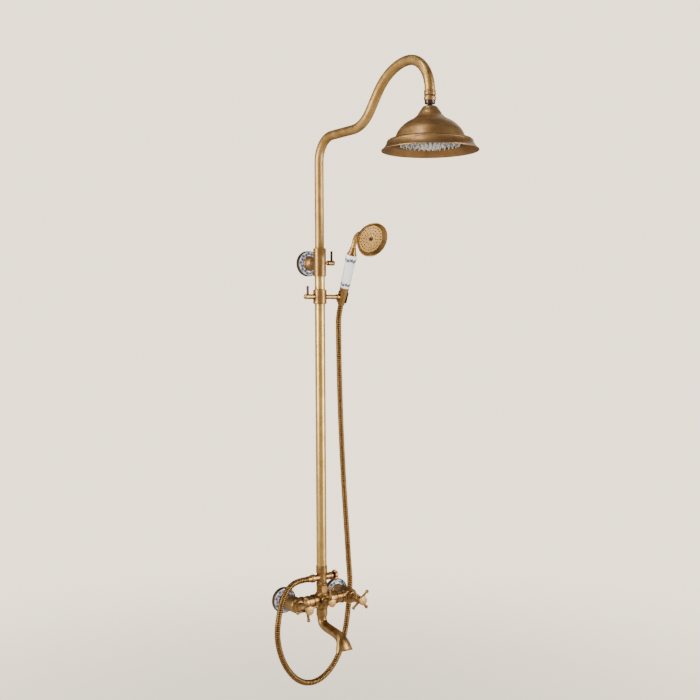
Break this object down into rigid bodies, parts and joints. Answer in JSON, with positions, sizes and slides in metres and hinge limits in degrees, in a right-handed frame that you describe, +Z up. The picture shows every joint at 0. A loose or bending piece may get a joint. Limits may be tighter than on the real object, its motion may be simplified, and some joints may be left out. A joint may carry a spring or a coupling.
{
  "type": "rainfall shower column",
  "caption": "Wall-hung brass shower column: two-handle mixer with bath spout, telescopic swan-neck riser, bell rain head and hand shower on a sliding holder.",
  "frame": {"origin": "centre of the upper bracket's wall plate, on the wall face", "axes": "+Z up the riser, -Y out of the wall into the room, +X to the right for someone facing the wall"},
  "size_m": [0.258, 0.588, 1.4228],
  "materials": {
    "antique_brass": "brushed antique brass, brown in the grain",
    "dark_bronze": "darkened bronze",
    "porcelain": "white glazed porcelain with a blue-grey painted pattern",
    "silicone": "translucent silicone",
    "white_plastic": "bearing plastic"
  },
  "bodies": {
    "column": {"bracket_base_plate": "antique_brass", "bracket_rosette": "dark_bronze", "bracket_porcelain_ring": "porcelain", "bracket_stem": "antique_brass", "bracket_collar": "antique_brass", "riser_tube": "antique_brass", "tee_body": "antique_brass", "tee_bonnet": "antique_brass", "tee_nut": "antique_brass", "mixer_body": "antique_brass", "inlet_unions": "antique_brass", "inlet_union_nuts": "antique_brass", "inlet_rosettes": "dark_bronze", "inlet_porcelain_rings": "porcelain", "sealing_washers": "silicone", "valve_bonnets": "antique_brass", "spout_nut": "antique_brass", "hose_supply_nut": "antique_brass", "shower_hose": "antique_brass"},
    "bracket_clamp": {"bracket_lever": "antique_brass", "bracket_lever_pin": "dark_bronze"},
    "telescope": {"telescope_piston": "antique_brass", "telescope_seals": "silicone"},
    "arm": {"gooseneck_arm": "antique_brass", "arm_end_fitting": "antique_brass", "swivel_housing": "antique_brass", "swivel_nut": "dark_bronze"},
    "head_nod_seat": {"swivel_seat_lower": "white_plastic"},
    "head_roll_seat": {"swivel_seat_upper": "white_plastic"},
    "head": {"swivel_ball": "dark_bronze", "head_bell": "antique_brass", "head_spray_plate": "dark_bronze", "head_nozzles": "silicone"},
    "slider_carriage": {"slider_liner": "white_plastic"},
    "slider": {"slider_collar": "antique_brass", "slider_arm": "antique_brass"},
    "slider_clamp": {"slider_lever": "antique_brass", "slider_lever_pin": "dark_bronze"},
    "cradle": {"handset_cradle": "antique_brass"},
    "handset": {"hose_handset_nut": "antique_brass", "handset_lower_ferrule": "antique_brass", "handset_grip": "porcelain", "handset_upper_ferrule": "antique_brass", "handset_neck": "antique_brass", "handset_shell": "antique_brass", "handset_face_plate": "antique_brass", "handset_nozzles": "silicone", "handset_face_screw": "dark_bronze"},
    "hot_valve": {"hot_spindle": "antique_brass", "hot_handle": "antique_brass", "hot_cap": "antique_brass"},
    "cold_valve": {"cold_spindle": "antique_brass", "cold_handle": "antique_brass", "cold_cap": "antique_brass"},
    "diverter": {"diverter_spindle": "antique_brass", "diverter_lever": "antique_brass", "diverter_cap": "antique_brass"},
    "hand_shower_valve": {"tee_spindle": "antique_brass", "tee_knob": "antique_brass"},
    "spout_arm": {"spout": "antique_brass"}
  },
  "joints": [
    {"name": "arm_telescope", "type": "slide", "parent": "column", "child": "telescope", "axis": [0, 0, 1], "range_m": [-0.1, 0.18]},
    {"name": "arm_swivel", "type": "hinge", "parent": "telescope", "child": "arm", "pos_m": [0, -0.056, 0], "axis": [0, 0, 1], "range_deg": [-75, 75]},
    {"name": "head_nod", "type": "hinge", "parent": "arm", "child": "head_nod_seat", "pos_m": [0, -0.474, 0.308], "axis": [1, 0, 0], "range_deg": [-12, 12]},
    {"name": "head_roll", "type": "hinge", "parent": "head_nod_seat", "child": "head_roll_seat", "pos_m": [0, -0.474, 0.308], "axis": [0, 1, 0], "range_deg": [-12, 12]},
    {"name": "head_spin", "type": "hinge", "parent": "head_roll_seat", "child": "head", "pos_m": [0, -0.474, 0.308], "axis": [0, 0, 1], "continuous": true},
    {"name": "bracket_clamp_turn", "type": "hinge", "parent": "column", "child": "bracket_clamp", "pos_m": [0.03, -0.056, 0], "axis": [1, 0, 0], "range_deg": [0, 180]},
    {"name": "slider_slide", "type": "slide", "parent": "column", "child": "slider_carriage", "axis": [0, 0, 1], "range_m": [-0.3, 0.03], "deforming": ["shower_hose"]},
    {"name": "slider_turn", "type": "hinge", "parent": "slider_carriage", "child": "slider", "pos_m": [0, -0.056, -0.0806], "axis": [0, 0, 1], "range_deg": [-60, 30], "deforming": ["shower_hose"]},
    {"name": "slider_clamp_turn", "type": "hinge", "parent": "slider", "child": "slider_clamp", "pos_m": [-0.03, -0.056, -0.0806], "axis": [-1, 0, 0], "range_deg": [0, 180]},
    {"name": "cradle_tilt", "type": "hinge", "parent": "slider", "child": "cradle", "pos_m": [0.05, -0.056, -0.0806], "axis": [1, 0, 0], "range_deg": [-22, 15], "deforming": ["shower_hose"]},
    {"name": "handset_lift", "type": "slide", "parent": "cradle", "child": "handset", "axis": [0, -0.3746, 0.9272], "range_m": [0, 0.045], "deforming": ["shower_hose"]},
    {"name": "hot_turn", "type": "hinge", "parent": "column", "child": "hot_valve", "pos_m": [-0.075, -0.1, -0.805], "axis": [0, -1, 0], "range_deg": [0, 90]},
    {"name": "cold_turn", "type": "hinge", "parent": "column", "child": "cold_valve", "pos_m": [0.075, -0.1, -0.805], "axis": [0, -1, 0], "range_deg": [-90, 0]},
    {"name": "diverter_turn", "type": "hinge", "parent": "column", "child": "diverter", "pos_m": [0, -0.09, -0.8035], "axis": [0, -1, 0], "range_deg": [-90, 90]},
    {"name": "hand_shower_valve_turn", "type": "hinge", "parent": "column", "child": "hand_shower_valve", "pos_m": [0.03, -0.056, -0.7505], "axis": [1, 0, 0], "range_deg": [0, 90]},
    {"name": "spout_swivel", "type": "hinge", "parent": "column", "child": "spout_arm", "pos_m": [0, -0.056, -0.845], "axis": [0, 0, 1], "range_deg": [-60, 60]}
  ]
}
